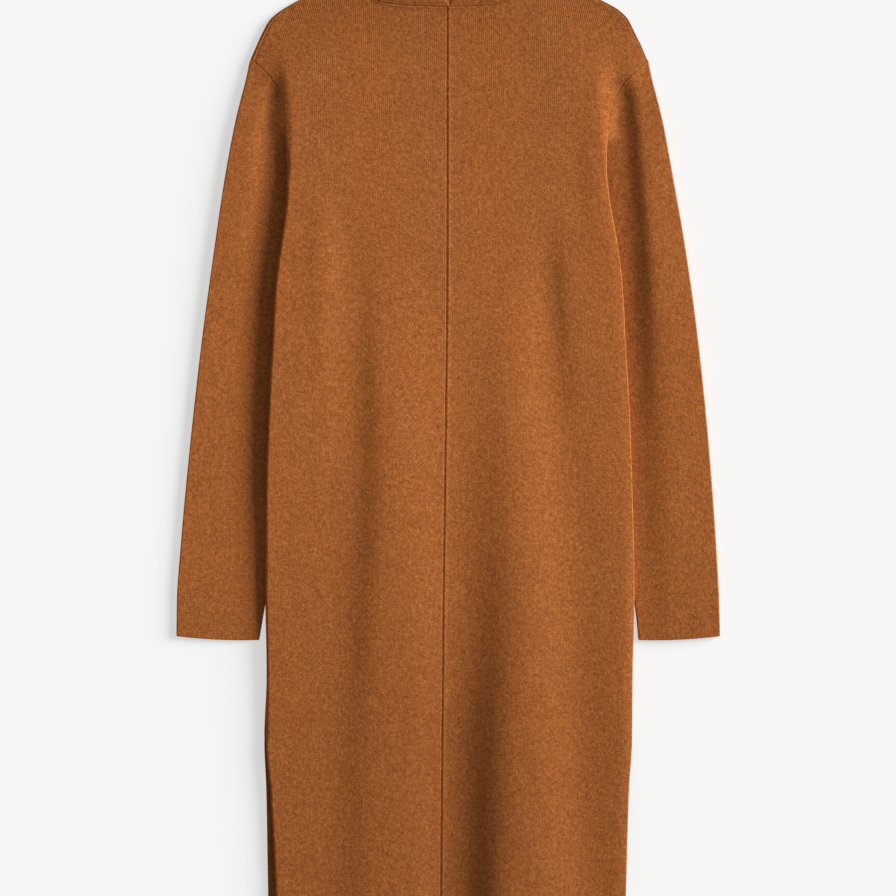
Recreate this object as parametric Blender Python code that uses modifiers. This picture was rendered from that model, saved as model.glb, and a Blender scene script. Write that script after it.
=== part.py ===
"""Drape cardigan in fine milled knit, laid flat with its back up.

Lengths in the tables are millimetres. "drop" is measured down the garment from
the high point of the shoulder, "across" sideways from the centre line. The
world's +Y runs to the collar, +Z up off the surface that the garment lies on.
"""

import bmesh
import bpy
import numpy as np

MM = 0.001

# Cut and cloth
LENGTH = 1161.0  # high shoulder point to hem
COLLAR_RISE = 49.0  # collar edge above the high shoulder point
WALL = 2.0  # milled knit, pressed
GAP = 0.3  # between pieces at a seam
CENTRE_GAP = 0.5  # at the centre-back seam, whose edges lean together over folds
HEAD_GAP = 0.8  # between sleeve head and armhole
HIGH_POINT = 101.0  # half the neck's width
SHOULDER_WIDTH = 205.0  # centre back to shoulder point
UNDERARM = 276.0
SLIT_TOP = 806.0

# How the layers lie on each other
LAPEL_LEVEL = WALL + GAP  # a front's underside where a lapel lies beneath it
LAPEL_MARGIN = 17.0  # how far past the lapel's edge the front stays up
SLEEVE_RAMP = 40.0  # width over which a front climbs onto the sleeve
SLEEVE_CLEARANCE = 0.8
LAYER_GAP = 0.5  # between a front and the back where they lie closest
SLEEVE_START, SLEEVE_START_RUN = 92.0, 34.0  # drop at which a front starts to climb, and the run
SLEEVE_END, SLEEVE_END_RUN = 725.0, 60.0  # drop at which it is down again, and the run
SINK_ACROSS, SINK_ACROSS_RUN = 50.0, 35.0  # inside the V the back sinks to the collar
SINK_DROP, SINK_DROP_RUN = 30.0, 60.0
EDGE_FADE = 18.0
SHOULDER_FADE = 46.0

RUST = (0.36, 0.112, 0.028, 1.0)


def table(columns, rows):
    """Rows of numbers whose columns are called by name."""
    kinds = [(name, float) for name in columns.split()]
    return np.array([tuple(row) for row in rows], dtype=kinds)


# Half widths of the back and of the fronts, from shoulder point to hem
SIDE_LINE = table(
    "drop left right front_left front_right",
    [
        (86, 205.0, 206.0, 205.0, 206.0),
        (97, 194.5, 194.0, 194.5, 194.0),
        (112, 185.5, 183.5, 185.5, 183.5),
        (128, 177.0, 176.0, 177.0, 176.0),
        (160, 175.0, 169.0, 175.0, 169.0),
        (200, 173.0, 167.5, 173.0, 167.5),
        (233, 172.5, 170.5, 172.5, 170.5),
        (276, 177.3, 178.0, 177.3, 178.0),
        (329, 182.0, 185.0, 182.0, 185.0),
        (382, 185.0, 188.5, 185.0, 188.5),
        (466, 188.0, 193.5, 188.0, 193.5),
        (551, 191.0, 196.0, 191.0, 196.0),
        (647, 193.0, 197.5, 193.0, 197.5),
        (731, 192.5, 195.5, 192.5, 195.5),
        (806, 192.3, 194.5, 194.0, 193.8),
        (859, 188.5, 192.5, 193.5, 190.8),
        (971, 182.5, 188.5, 190.0, 186.5),
        (1161, 177.0, 182.0, 185.5, 180.0),
    ],
)

# The centre-back seam wanders a little to the wearer's left
CENTRE_BACK = table(
    "drop across",
    [(0, 0.0), (212, -0.8), (339, -1.4), (657, -4.6), (971, -7.2), (1161, -8.6)],
)

NECK = table(
    "across drop",
    [(0, 27.6), (40, 26.4), (70, 22.4), (84, 16.5), (94, 9.0), (101, 0.0)],
)
SHOULDER = table(
    "across drop",
    [(101, 0.0), (130, 10.5), (157, 21.0), (176, 35.0), (188, 49.0), (196, 63.5), (205, 86.0)],
)

# The fronts' open edge: a deep V that becomes a straight centre edge
FRONT_EDGE = table(
    "drop across",
    [
        (0, 101.0),
        (30, 97.0),
        (50, 94.0),
        (100, 86.0),
        (165, 72.0),
        (270, 52.0),
        (410, 22.0),
        (500, 4.0),
        (560, 1.5),
        (1161, 1.5),
    ],
)

# The collar's sections: its seam, then its free edge, from centre back round the
# neck and down the front, where it lies turned back under the front
COLLAR = table(
    "station seam_across seam_drop edge_across edge_drop",
    [
        (0, 0.15, 33.6, 0.15, -49.0),
        (1, 40.0, 32.5, 48.0, -47.0),
        (2, 75.0, 27.0, 95.0, -37.0),
        (3, 92.0, 19.0, 126.0, -15.0),
        (4, 97.0, 30.0, 146.0, 14.0),
        (5, 94.0, 50.0, 150.0, 45.0),
        (6, 86.0, 100.0, 145.0, 96.0),
        (7, 72.0, 165.0, 136.0, 161.0),
        (8, 52.0, 270.0, 120.0, 266.0),
        (9, 22.0, 410.0, 108.0, 406.0),
        (10, 4.0, 500.0, 101.0, 498.0),
        (11, 1.5, 650.0, 94.0, 650.0),
        (12, 1.5, 900.0, 86.0, 900.0),
        (13, 1.5, 1161.0, 80.0, 1161.0),
    ],
)

# The sleeve's sections: outer fold on each side, then the inner fold, which lies
# under the body down to the forearm
SLEEVE = table(
    "station outer_drop left right inner_drop inner",
    [
        (0, 86.5, 209.5, 209.5, 286.0, 131.0),
        (1, 106.0, 214.5, 216.0, 302.0, 127.5),
        (2, 148.0, 225.0, 226.5, 324.0, 124.0),
        (3, 212.0, 237.0, 238.5, 352.0, 123.0),
        (4, 297.0, 249.5, 253.0, 400.0, 130.0),
        (5, 382.0, 261.0, 264.5, 460.0, 146.0),
        (6, 488.0, 273.0, 275.5, 537.0, 167.0),
        (7, 594.0, 283.0, 283.5, 618.0, 185.0),
        (8, 657.0, 287.5, 287.0, 668.0, 196.0),
        (9, 695.5, 288.0, 288.0, 699.5, 201.5),
    ],
)

# Where the sleeve head runs once it has gone under the body
SLEEVE_HEAD = table(
    "drop across",
    [(128, 177.8), (160, 167.0), (213, 150.0), (286, 131.0)],
)

# The sleeve's inner boundary in plan, and how high its upper wall lies
SLEEVE_REACH = table(
    "drop across",
    [
        (100, 213.0),
        (128, 172.0),
        (160, 160.0),
        (213, 144.0),
        (286, 127.0),
        (345, 120.0),
        (400, 126.0),
        (460, 142.0),
        (537, 163.0),
        (618, 181.0),
        (700, 198.0),
    ],
)
SLEEVE_HEIGHT = table(
    "drop height",
    [(86, 4.4), (128, 4.8), (180, 5.8), (250, 7.2), (560, 7.2), (700, 5.4)],
)

# Height of the back's outer face beside its left and right edges
LEVEL = table(
    "drop left right",
    [
        (0, 7.0, 7.0),
        (60, 8.6, 8.6),
        (128, 11.8, 11.2),
        (200, 13.8, 12.8),
        (276, 14.6, 13.6),
        (560, 14.6, 13.6),
        (640, 12.8, 13.6),
        (720, 9.6, 13.4),
        (800, 8.5, 13.4),
        (1161, 8.5, 14.0),
    ],
)

# Soft folds of the back, each a rise, or a fall, from left to right across its line
FOLDS = [
    table(
        "drop across rise spread",
        [(250, -84, 0.0, 13), (371, -84, 2.4, 13), (594, -87, 5.2, 16), (1161, -106, 3.8, 19)],
    ),
    table(
        "drop across rise spread",
        [(300, -28, 0.0, 24), (445, -26, -4.6, 25), (594, -20, -4.4, 24), (1161, -24, -3.3, 18)],
    ),
    table(
        "drop across rise spread",
        [(340, 50, 0.0, 19), (594, 45, 8.0, 25), (816, 37, 14.2, 23), (1161, 33, 15.2, 21)],
    ),
    table(
        "drop across rise spread",
        [(230, 90, 0.0, 16), (445, 95, -5.6, 25), (742, 113, -7.8, 32), (1161, 126, -8.4, 32)],
    ),
    table(
        "drop across rise spread",
        [(260, 115, 0.0, 14), (445, 126, 2.2, 16), (742, 158, 3.6, 25), (1161, 167, 3.0, 26)],
    ),
]

# Grid lines
BACK_COLUMNS = (0, 0.09, 0.18, 0.27, 0.35, 0.425, 0.4927, 0.57, 0.65, 0.74, 0.83, 0.91, 0.96, 1)
FRONT_COLUMNS = (0, 0.12, 0.24, 0.36, 0.48, 0.58, 0.67, 0.76, 0.84, 0.92, 1)
ARMHOLE_ROWS = (0, 0.055, 0.13, 0.22, 0.36, 0.52, 0.68, 0.84)
SIDE_ROWS = 13
SLIT_ROWS = 7
COLLAR_ROWS = 3
COLLAR_COLUMNS = 30
SLEEVE_SECTIONS = 17
SLEEVE_FLAT_POINTS = 8
SLEEVE_FOLD_POINTS = 3
SLEEVE_CROWDING = 1.6  # crowds the points towards the outer fold and the seam
HEAD_STATIONS = 3.5  # sections over which the head's curve fades out


def smooth(amount):
    """0 to 1 with level ends."""
    amount = np.clip(amount, 0.0, 1.0)
    return amount * amount * (3.0 - 2.0 * amount)


def follow(rows, column, at, key="drop"):
    """Cubic through a table's rows that never overshoots them."""
    place = rows[key]
    value = rows[column]
    chord = np.diff(value) / np.diff(place)
    before = np.concatenate([chord[:1], chord])
    after = np.concatenate([chord, chord[-1:]])
    product = before * after
    total = np.where(product > 0.0, before + after, 1.0)
    slope = np.where(product > 0.0, 2.0 * product / total, 0.0)
    at = np.clip(at, place[0], place[-1])
    row = np.clip(np.searchsorted(place, at, side="right") - 1, 0, len(place) - 2)
    span = place[row + 1] - place[row]
    part = (at - place[row]) / span
    rest = 1.0 - part
    start = (1.0 + 2.0 * part) * rest**2 * value[row]
    end = (3.0 - 2.0 * part) * part**2 * value[row + 1]
    bend = part * rest * span * (rest * slope[row] - part * slope[row + 1])
    return start + end + bend


def top_edge(across):
    """Drop of the neck seam, and past the high point of the shoulder seam."""
    neck = follow(NECK, "drop", across, "across")
    shoulder = follow(SHOULDER, "drop", across, "across")
    return np.where(across < HIGH_POINT, neck, shoulder)


def to_world(across, drop, height):
    """Garment millimetres to world metres."""
    middle = (LENGTH - COLLAR_RISE) / 2.0
    return np.stack([across * MM, (middle - drop) * MM, height * MM], axis=-1)


def level_rows():
    """Row levels as fractions of the underarm's drop, then drops in millimetres."""
    upper = np.array(ARMHOLE_ROWS) * UNDERARM
    side = np.linspace(UNDERARM, SLIT_TOP, SIDE_ROWS)
    slit = np.linspace(SLIT_TOP, LENGTH, SLIT_ROWS + 1)[1:]
    return np.concatenate([upper, side, slit])


def panel_rows(start_drop):
    """Drops of a panel's grid: from its top edge, flattening to level at the underarm."""
    level = level_rows()[:, None]
    sunk = np.clip(level / UNDERARM, 0.0, 1.0)
    upper = start_drop + (UNDERARM - start_drop) * sunk
    return np.where(level < UNDERARM, upper, level)


def fold_height(across, drop):
    """Sum over the folds of rise * (1 + tanh((across - line) / spread)) / 2."""
    total = np.zeros_like(across)
    for fold in FOLDS:
        line = follow(fold, "across", drop)
        reach = np.tanh((across - line) / follow(fold, "spread", drop))
        total += follow(fold, "rise", drop) * (1.0 + reach) / 2.0
    return total


def back_face(across, drop):
    """Outer face of the back: the left edge's level, the folds, and a slow tilt
    that brings it to the right edge's level."""
    left = follow(LEVEL, "left", drop)
    right = follow(LEVEL, "right", drop)
    half_left = follow(SIDE_LINE, "left", drop)
    half_right = follow(SIDE_LINE, "right", drop)
    part = (across + half_left) / (half_left + half_right)
    start = fold_height(-half_left, drop)
    gain = fold_height(half_right, drop) - start
    return left + fold_height(across, drop) - start + part * (right - left - gain)


def air(across, drop, half, under):
    """Room between the layer below and the back's face, none at the side and
    shoulder seams."""
    inward = smooth((half - np.abs(across)) / EDGE_FADE)
    below = smooth((drop - top_edge(np.abs(across))) / SHOULDER_FADE)
    return np.maximum(back_face(across, drop) - WALL - under, 0.0) * inward * below


def front_height(across, drop):
    """Underside of a front: on the surface, the lapel or the sleeve."""
    out = np.abs(across)
    lapel_end = follow(COLLAR, "edge_across", drop, "edge_drop") + LAPEL_MARGIN
    lapel = LAPEL_LEVEL * (1.0 - smooth((out - lapel_end) / LAPEL_MARGIN))
    reach = follow(SLEEVE_REACH, "across", drop)
    climb = smooth((out - reach + SLEEVE_RAMP) / SLEEVE_RAMP)
    starts = smooth((drop - SLEEVE_START) / SLEEVE_START_RUN)
    ends = smooth((SLEEVE_END - drop) / SLEEVE_END_RUN)
    sleeve = follow(SLEEVE_HEIGHT, "height", drop) + SLEEVE_CLEARANCE
    return np.maximum(lapel, sleeve * climb * starts * ends)


def back_height(across, drop, half):
    """Underside of the back: over the fronts, sinking to the collar inside the V."""
    out = np.abs(across)
    within = 1.0 - smooth((out - SINK_ACROSS) / SINK_ACROSS_RUN)
    sunk = within * (1.0 - smooth((drop - SINK_DROP) / SINK_DROP_RUN))
    under = front_height(across, drop) + (WALL + LAYER_GAP) * (1.0 - sunk)
    return under + air(across, drop, half, under)


def cloth_material(name, colour):
    """Milled wool knit: matt, no metal."""
    material = bpy.data.materials.new(name)
    material.use_nodes = True
    shader = material.node_tree.nodes["Principled BSDF"]
    shader.inputs["Base Color"].default_value = colour
    shader.inputs["Roughness"].default_value = 0.92
    shader.inputs["Metallic"].default_value = 0.0
    return material


def add_cloth(name, points, closed, outward, collection):
    """Open sheet through a grid of points, given its wall by Solidify."""
    rows, columns = points.shape[:2]
    form = bmesh.new()
    verts = [[form.verts.new(points[i, j]) for j in range(columns)] for i in range(rows)]
    strips = columns if closed else columns - 1
    for i in range(rows - 1):
        for j in range(strips):
            after = (j + 1) % columns
            corners = [verts[i][j], verts[i + 1][j], verts[i + 1][after], verts[i][after]]
            form.faces.new(corners)
    mesh = bpy.data.meshes.new(name)
    form.to_mesh(mesh)
    form.free()
    mesh.materials.append(cloth_material(name + "_cloth", RUST))
    piece = bpy.data.objects.new(name, mesh)
    collection.objects.link(piece)
    wall = piece.modifiers.new("cloth wall", "SOLIDIFY")
    wall.thickness = WALL * MM
    wall.offset = outward
    wall.use_even_offset = closed
    return piece


def add_back(name, side, collection):
    """Half the back, from the centre-back seam to armhole, side seam and slit edge."""
    sign = -1.0 if side == "left" else 1.0
    column = np.array(BACK_COLUMNS)[None, :]
    drop = panel_rows(top_edge(column * SHOULDER_WIDTH))
    half = follow(SIDE_LINE, side, drop[:, -1:])
    centre = follow(CENTRE_BACK, "across", drop) * (1.0 - column)
    across = centre + sign * (CENTRE_GAP / 2 + column * (half - CENTRE_GAP / 2))
    height = back_height(across, drop, half)
    points = to_world(across, drop, height)
    return add_cloth(name, points[:, :: int(sign)], False, 1.0, collection)


def add_front(name, side, collection):
    """A front, from its open edge to armhole, side seam and slit edge."""
    sign = -1.0 if side == "left" else 1.0
    column = np.array(FRONT_COLUMNS)[None, :]
    start = HIGH_POINT + (SHOULDER_WIDTH - HIGH_POINT) * column
    drop = panel_rows(top_edge(start))
    half = follow(SIDE_LINE, "front_" + side, drop[:, -1:])
    inner = follow(FRONT_EDGE, "across", drop[:, :1])
    out = inner + (half - inner) * column
    across = sign * out
    height = front_height(across, drop)
    points = to_world(across, drop, height)
    return add_cloth(name, points[:, :: int(sign)], False, 1.0, collection)


def add_collar(name, side, collection):
    """Half the collar: stands at the back neck, lies turned back down the front."""
    sign = -1.0 if side == "left" else 1.0
    station = np.linspace(0.0, COLLAR["station"][-1], COLLAR_COLUMNS)[:, None]
    part = np.linspace(0.0, 1.0, COLLAR_ROWS + 1)[None, :]
    ends = {}
    for column in COLLAR.dtype.names[1:]:
        ends[column] = follow(COLLAR, column, station, "station")
    across = ends["seam_across"] + (ends["edge_across"] - ends["seam_across"]) * part
    drop = ends["seam_drop"] + (ends["edge_drop"] - ends["seam_drop"]) * part
    points = to_world(sign * across, drop, np.zeros_like(drop))
    return add_cloth(name, points[:, :: int(sign)], False, 1.0, collection)


def sleeve_ring():
    """One flattened loop: part across from the outer fold, and height from 0 to 1.

    Half circles at the two folds are joined by level runs.
    """
    run = np.linspace(0.0, 1.0, SLEEVE_FLAT_POINTS) ** SLEEVE_CROWDING
    turn = np.linspace(0.0, np.pi, SLEEVE_FOLD_POINTS + 2)[1:-1]
    fold = np.full(SLEEVE_FOLD_POINTS, 1.0)
    part = np.concatenate([run, fold, run[::-1], 0.0 * fold])
    reach = np.concatenate([0.0 * run, np.sin(turn), 0.0 * run, -np.sin(turn)])
    rise = np.concatenate([0.0 * run + 1.0, 0.5 + 0.5 * np.cos(turn)])
    rise = np.concatenate([rise, 0.0 * run, 0.5 - 0.5 * np.cos(turn)])
    return part, reach, rise


def add_sleeve(name, side, collection):
    """Flattened tube from the armhole to the cuff, open at both ends."""
    sign = -1.0 if side == "left" else 1.0
    station = np.linspace(0.0, 1.0, SLEEVE_SECTIONS)[:, None] * SLEEVE["station"][-1]
    part, reach, rise = (values[None, :] for values in sleeve_ring())
    outer_drop = follow(SLEEVE, "outer_drop", station, "station")
    outer = follow(SLEEVE, side, station, "station")
    inner_drop = follow(SLEEVE, "inner_drop", station, "station")
    inner = follow(SLEEVE, "inner", station, "station")
    drop = outer_drop + (inner_drop - outer_drop) * part
    top = follow(SLEEVE_HEIGHT, "height", drop)
    across = outer - top / 2 + (inner - outer + top) * part

    # The head's curve: along the armhole seam, then under the body
    seam = follow(SIDE_LINE, side, drop[:1]) + HEAD_GAP
    under = follow(SLEEVE_HEAD, "across", drop[:1])
    head = np.where(drop[:1] < SLEEVE_HEAD["drop"][0], seam, np.minimum(seam, under))
    bow = (head - across[:1]) * (part > 0.0)
    across = across + bow * (1.0 - smooth(station / HEAD_STATIONS)) - top / 2 * reach
    points = to_world(sign * across, drop, top * rise)
    return add_cloth(name, points[:, :: -int(sign)], True, -1.0, collection)


def main():
    for old in list(bpy.data.objects):
        bpy.data.objects.remove(old)
    collection = bpy.data.collections.new("drape_cardigan")
    bpy.context.scene.collection.children.link(collection)
    for side in ("left", "right"):
        add_back("back_" + side, side, collection)
        add_front("front_" + side, side, collection)
        add_collar("collar_" + side, side, collection)
        add_sleeve("sleeve_" + side, side, collection)


main()
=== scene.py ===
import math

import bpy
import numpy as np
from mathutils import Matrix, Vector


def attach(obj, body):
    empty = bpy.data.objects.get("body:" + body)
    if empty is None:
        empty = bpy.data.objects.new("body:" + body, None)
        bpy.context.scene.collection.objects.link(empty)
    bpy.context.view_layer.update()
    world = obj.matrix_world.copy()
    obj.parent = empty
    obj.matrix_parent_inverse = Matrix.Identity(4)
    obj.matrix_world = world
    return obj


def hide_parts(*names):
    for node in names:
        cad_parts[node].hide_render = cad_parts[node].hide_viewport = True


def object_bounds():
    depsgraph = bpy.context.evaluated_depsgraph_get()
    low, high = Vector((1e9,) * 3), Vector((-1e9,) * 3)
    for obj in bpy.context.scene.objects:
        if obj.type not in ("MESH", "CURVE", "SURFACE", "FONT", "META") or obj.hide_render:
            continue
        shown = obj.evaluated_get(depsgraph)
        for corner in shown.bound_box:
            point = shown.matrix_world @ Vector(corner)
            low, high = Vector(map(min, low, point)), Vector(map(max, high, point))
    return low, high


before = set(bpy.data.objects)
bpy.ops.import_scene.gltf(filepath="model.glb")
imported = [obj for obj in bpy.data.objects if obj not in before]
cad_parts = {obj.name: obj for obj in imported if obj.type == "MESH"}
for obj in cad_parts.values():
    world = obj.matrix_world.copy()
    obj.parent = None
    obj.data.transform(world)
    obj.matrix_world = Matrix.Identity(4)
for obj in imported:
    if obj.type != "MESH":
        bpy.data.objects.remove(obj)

# Drape cardigan in fine milled knit, laid flat with its back up.
# Lengths in the tables are millimetres: "drop" down the garment from the high
# shoulder point, "across" sideways from the centre line, height off the floor.

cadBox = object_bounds()
mm = 0.001
join = np.concatenate
print("frame loaded, box", [round(v, 4) for corner in cadBox for v in corner])

cut = {
    "length": 1161.0,  # high shoulder point to hem
    "collarRise": 49.0,  # collar edge above the high shoulder point
    "highPoint": 101.0,  # half the neck's width
    "shoulder": {"left": 205.6, "right": 210.8},  # centre back to shoulder point
    "underarm": 276.0,  # from here down the grids' rows are level
    "slitTop": 806.0,  # the side seam ends
    "wall": 1.8,  # thickness of the pressed knit
    "seamGap": -0.04,  # two seam edges are pressed together by this much
    # radius at which a seam edge turns in, and the lines that its turn takes
    "seamRound": {"plain": 0.6, "centre": 0.3, "armhole": 0.7},
    "seamLines": 5,
    "tuck": 1.2,  # how far a turned-in edge goes on down
    "tuckWall": 0.8,  # thickness there
    "tuckLean": -0.06,  # how far in it leans, per millimetre down
    "tuckFade": 6.0,  # distance from the seam at which the wall is full again
    "lastRow": 2.2,  # above the hem, before the lines that round it
}
middleDrop = cadBox[1].y / mm - cut["collarRise"]  # drop of the world's origin
sideSign = {"left": -1.0, "right": 1.0}

# distances from a cut edge at which its rounding needs grid lines, the drops of
# those at the hem, and how deep the lines of a tuck lie
edgeSteps = cut["wall"] * np.array([0.0, 0.03, 0.12, 0.28, 0.5])
hemRows = cut["length"] - 1.2 * edgeSteps[::-1]
tuckSteps = cut["tuck"] * np.array([0.35, 0.68, 0.9, 1.0])


def table(columns, rows):
    # Rows of numbers whose columns are called by name
    return dict(zip(columns.split(), np.array(rows, dtype=float).T))


def ease(amount):
    # 3t^2 - 2t^3 on the clipped amount: 0 to 1 with level ends
    amount = np.clip(amount, 0.0, 1.0)
    return amount * amount * (3.0 - 2.0 * amount)


def ramp(value, start, length):
    # Eases from 0 at the start to 1 a length further on
    return ease((value - start) / length)


def between(value, rise, fall):
    # A ramp up times a ramp down, each given as its start and length
    return ramp(value, *rise) * (1.0 - ramp(value, *fall))


def bell(distance, spread):
    # exp(-(distance / spread)^2 / 2)
    return np.exp(-0.5 * (distance / spread) ** 2)


def follow(rows, column, at, key="drop"):
    # Cubic Hermite through a table's rows; the slope at a row is the harmonic
    # mean of its two chords, or 0 where they differ in sign, so it never overshoots
    place, value = rows[key], rows[column]
    chord = np.diff(value) / np.diff(place)
    before = join([chord[:1], chord])
    after = join([chord, chord[-1:]])
    product = before * after
    total = np.where(product > 0.0, before + after, 1.0)
    slope = np.where(product > 0.0, 2.0 * product / total, 0.0)
    at = np.clip(at, place[0], place[-1])
    row = np.clip(np.searchsorted(place, at, side="right") - 1, 0, len(place) - 2)
    span = place[row + 1] - place[row]
    part = (at - place[row]) / span
    rest = 1.0 - part
    start = (1.0 + 2.0 * part) * rest**2 * value[row]
    end = (3.0 - 2.0 * part) * part**2 * value[row + 1]
    bend = part * rest * span * (rest * slope[row] - part * slope[row + 1])
    return start + end + bend


# the side edges of back and front are one line down to the slit
sideRows = [
    (86, 205.6, 210.8), (89, 203.6, 206.9), (97, 194.8, 198.4), (105, 188.0, 190.2),
    (112, 182.8, 184.1), (128, 175.4, 176.0), (160, 172.6, 169.0), (200, 170.8, 167.5),
    (233, 171.0, 170.5), (247, 172.2, 172.8), (276, 176.0, 178.0), (297, 179.4, 181.2),
    (329, 182.9, 184.5), (382, 185.8, 187.3), (466, 190.2, 192.0), (551, 192.8, 194.8),
    (647, 193.5, 196.9), (731, 192.3, 194.9),
]
backSlit = [(806, 193.0, 194.2), (859, 188.5, 190.9), (971, 182.5, 187.6), (1161, 177.0, 181.0)]
frontSlit = [(806, 195.0, 193.6), (859, 192.9, 189.6), (971, 190.9, 186.0), (1161, 186.3, 179.5)]
sideLine = table("drop left right", sideRows + backSlit)
frontLine = table("drop left right", sideRows + frontSlit)
centreBack = table("drop across", [
    (0, -1.8), (42, -1.8), (127, -2.0), (212, -2.0), (339, -2.3), (450, -3.5),
    (551, -4.8), (657, -6.1), (763, -7.1), (971, -8.8), (1161, -10.2),
])
neckLine = table("across drop", [
    (0, 28.8), (40, 27.4), (55, 26.3), (70, 23.8), (84, 17.5), (94, 9.5), (101, 0.0),
])
shoulderLine = {
    "left": table("across drop", [
        (101, 0.0), (130, 12.8), (150, 22.0), (160, 27.0), (167, 31.0), (177, 37.3),
        (186.5, 45.5), (190.5, 52.0), (196.3, 63.5), (205.6, 86.0),
    ]),
    "right": table("across drop", [
        (101, 0.0), (130, 11.0), (160, 21.8), (171, 27.3), (180, 32.7), (186.3, 38.1),
        (190.7, 43.4), (193.5, 48.8), (198.5, 59.2), (204.0, 70.0), (208.2, 80.0),
        (210.8, 86.0),
    ]),
}
frontEdge = table("drop across", [
    (0, 101.0), (30, 97.0), (50, 94.0), (100, 86.0), (165, 72.0),
    (270, 52.0), (410, 22.0), (500, 4.0), (560, 1.5), (1161, 1.5),
])
collarLine = table("station seamAcross seamDrop edgeAcross edgeDrop", [
    (0, -0.02, 33.6, -0.02, -49.0),
    (1, 40.0, 32.5, 48.0, -47.0),
    (2, 75.0, 27.0, 95.0, -37.0),
    (3, 92.0, 19.0, 126.0, -15.0),
    (4, 97.0, 30.0, 146.0, 14.0),
    (5, 94.0, 50.0, 150.0, 45.0),
    (6, 86.0, 100.0, 145.0, 96.0),
    (7, 72.0, 165.0, 136.0, 161.0),
    (8, 52.0, 270.0, 120.0, 266.0),
    (9, 22.0, 410.0, 108.0, 406.0),
    (10, 4.0, 500.0, 101.0, 498.0),
    (11, 1.5, 650.0, 94.0, 650.0),
    (12, 1.5, 900.0, 86.0, 900.0),
    (13, 1.5, 1161.0, 80.0, 1161.0),
])
sleeveLine = table("station outerDrop left right innerDrop leftInner rightInner", [
    (0, 85.8, 210.2, 211.9, 286.0, 131.0, 131.0),
    (1, 106.0, 214.5, 216.0, 302.0, 127.5, 127.5),
    (2, 148.0, 225.0, 226.5, 324.0, 124.0, 124.0),
    (3, 212.0, 237.0, 238.5, 352.0, 123.0, 123.0),
    (4, 297.0, 249.5, 253.0, 400.0, 130.0, 130.0),
    (5, 382.0, 261.0, 264.5, 460.0, 146.0, 146.0),
    (6, 488.0, 273.0, 275.5, 537.0, 167.0, 168.0),
    (7, 594.0, 283.0, 283.5, 618.0, 185.0, 188.4),
    (8, 657.0, 287.5, 287.0, 668.0, 194.8, 198.1),
    (9, 695.5, 288.0, 288.0, 699.5, 200.2, 201.4),
])
# where the top of a sleeve starts: on the armhole seam, then under the body
sleeveHead = table("drop across", [
    (165, 177), (174, 172.4), (179, 161), (190, 156.5),
    (202, 152.5), (213, 149), (240, 141.5), (286, 131),
])
# how far in a sleeve lies under the front
sleeveReach = table("drop across", [
    (165, 173.0), (183, 158.0), (202, 148.5), (213, 145.0), (240, 137.5), (286, 127.0),
    (345, 119.5), (400, 126.0), (460, 142.0), (537, 163.0), (618, 181.0), (700, 198.0),
])


def topEdge(side, out):
    # Drop of the neck seam, and past the high point of the shoulder seam
    neck = follow(neckLine, "drop", out, "across")
    shoulder = follow(shoulderLine[side], "drop", out, "across")
    return np.where(out < cut["highPoint"], neck, shoulder)


backLay = {
    # height of the outer face beside the left and right edges
    "level": table("drop left right", [
        (0, 8.6, 8.6), (60, 9.3, 9.3), (128, 11.4, 11.0), (200, 13.6, 12.6),
        (276, 15.2, 13.6), (400, 15.2, 13.6), (520, 14.3, 13.6), (560, 13.2, 13.6),
        (600, 12.2, 13.7), (650, 11.2, 13.8), (700, 10.1, 14.0), (750, 9.1, 14.3),
        (820, 8.5, 14.5), (1161, 8.5, 15.0),
    ]),
    # outer face along the seams at shoulder and neck, and how far inside it has risen
    "shoulderHeight": 5.6,
    "neckHeight": 8.2,
    "neckFade": (40.0, 140.0),  # across, from where and over how far the one becomes the other
    "seamRise": 88.0,
    "seamSoft": 14.0,  # rounds the corner of the top edge out of the surface below it
    # where the back falls to the sleeve beside the armhole
    "leftGutter": table("drop line width share", [
        (70, 178, 14, 0), (86, 178, 14, 0.2), (100, 178, 16, 0.45), (115, 178.5, 20, 0.9),
        (128, 178.5, 25, 1), (160, 178, 30, 1), (178, 176, 24, 0.95), (200, 173.5, 18, 0.55),
        (216, 173, 14, 0),
    ]),
    "rightGutter": table("drop line width share", [
        (60, 168, 18, 0), (80, 168, 20, 0.25), (100, 169, 22, 0.6), (115, 169, 26, 0.95),
        (128, 170, 27, 1), (160, 170.5, 25, 1), (180, 173, 25, 0.9), (202, 176, 26, 0.4),
        (222, 177, 26, 0),
    ]),
    # edge roll: how far in it starts, how far down it goes, the slow fall before
    # it, which only the right edge has, and the tuck's share
    "roll": table("drop leftIn leftDown leftFall rightIn rightDown rightFall tuck", [
        (86, 0.8, 0.8, 0, 0.8, 0.8, 0, 1.0), (150, 0.8, 0.8, 0, 0.8, 0.8, 0, 1.0),
        (166, 1.0, 0.8, 0, 1.0, 0.8, 0, 0.6), (180, 2.5, 1.2, 0, 1.6, 0.9, 0, 0.3),
        (200, 5.0, 2.0, 0, 1.7, 1.2, 0.4, 0.3), (225, 4.0, 2.4, 0, 1.3, 1.4, 0.7, 0.3),
        (262, 2.6, 2.8, 0, 1.2, 1.4, 0.7, 0.3), (560, 2.6, 2.8, 0, 1.2, 1.4, 0.7, 0.3),
        (600, 3.4, 2.8, 0, 1.2, 1.4, 0.8, 0.3), (700, 3.2, 2.8, 0, 1.2, 1.4, 1.4, 0.3),
        (798, 4.0, 3.0, 0, 1.2, 1.4, 1.3, 0.3), (812, 3.0, 1.6, 0, 1.2, 1.4, 1.2, 0.2),
        (1161, 3.0, 1.6, 0, 1.2, 1.4, 0.6, 0.2),
    ]),
    "fallReach": 12.0,  # how far in the slow fall starts
}

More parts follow.
